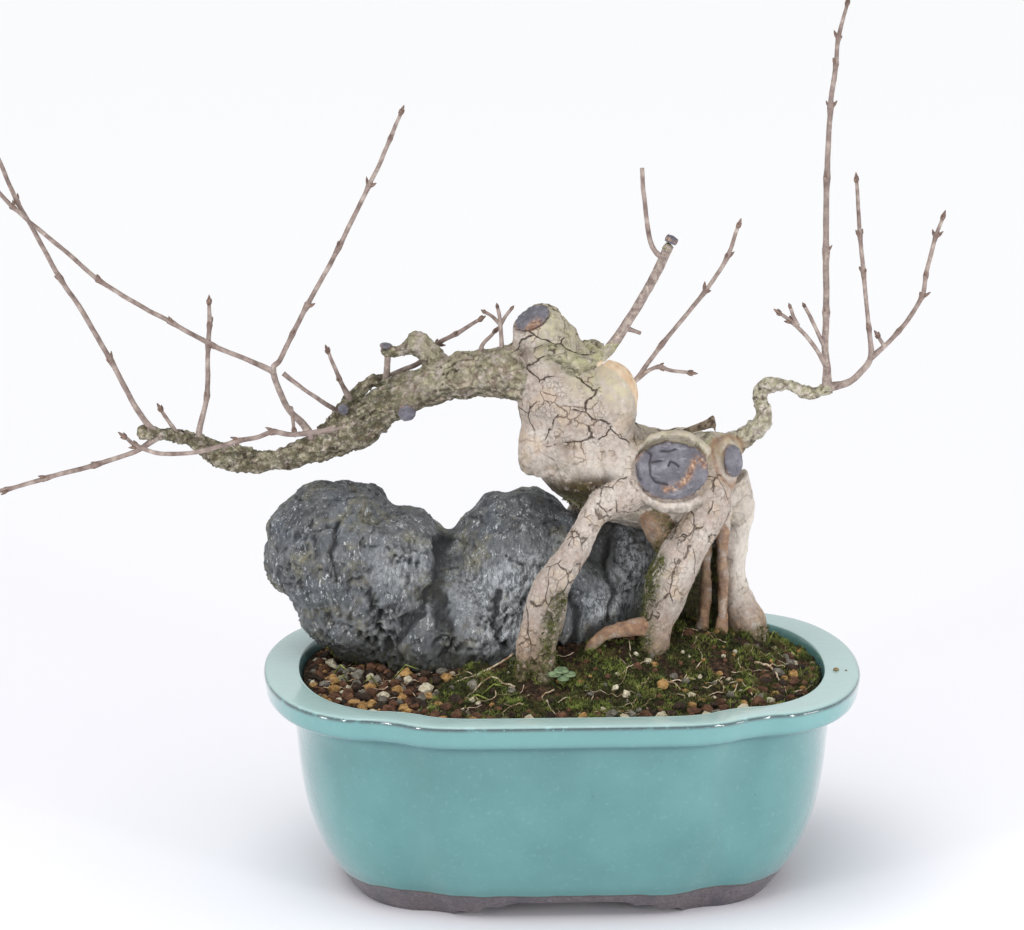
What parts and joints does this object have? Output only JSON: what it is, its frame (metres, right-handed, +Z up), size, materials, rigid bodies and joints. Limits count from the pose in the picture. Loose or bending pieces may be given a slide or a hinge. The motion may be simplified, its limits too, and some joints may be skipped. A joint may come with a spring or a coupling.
{
  "type": "potted bonsai tree",
  "caption": "Leafless trident maple shohin bonsai whose old roots clasp a dark stone, planted in a pale turquoise glazed mokko pot with cloud feet.",
  "frame": {"origin": "middle of the whole object's bounding box, on the plane under the pot's feet; the pot's own centre is 24.5 mm to +X of it", "axes": "+X to the viewer's right along the pot's long side, +Y away from the viewer, +Z up"},
  "size_m": [0.2277, 0.102, 0.2083],
  "materials": {
    "glazed_stoneware": "glossy pale turquoise glaze, bare grey clay on the feet",
    "screen_plastic": "matte",
    "gravel_soil": "rough mixed grains",
    "dark_stone": "rough, pitted",
    "maple_bark": "cracked bark",
    "cut_paste": "dried putty"
  },
  "bodies": {
    "root": {"pot": "glazed_stoneware", "drain_screen_left": "screen_plastic", "drain_screen_right": "screen_plastic", "soil": "gravel_soil", "rock": "dark_stone", "tree": "maple_bark", "wound_paste_large": "cut_paste", "wound_paste_small": "cut_paste", "apex_paste": "cut_paste", "stub_paste_low": "cut_paste", "stub_paste_front": "cut_paste", "stub_paste_knob": "cut_paste", "stub_paste_curved": "cut_paste"}
  },
  "joints": []
}
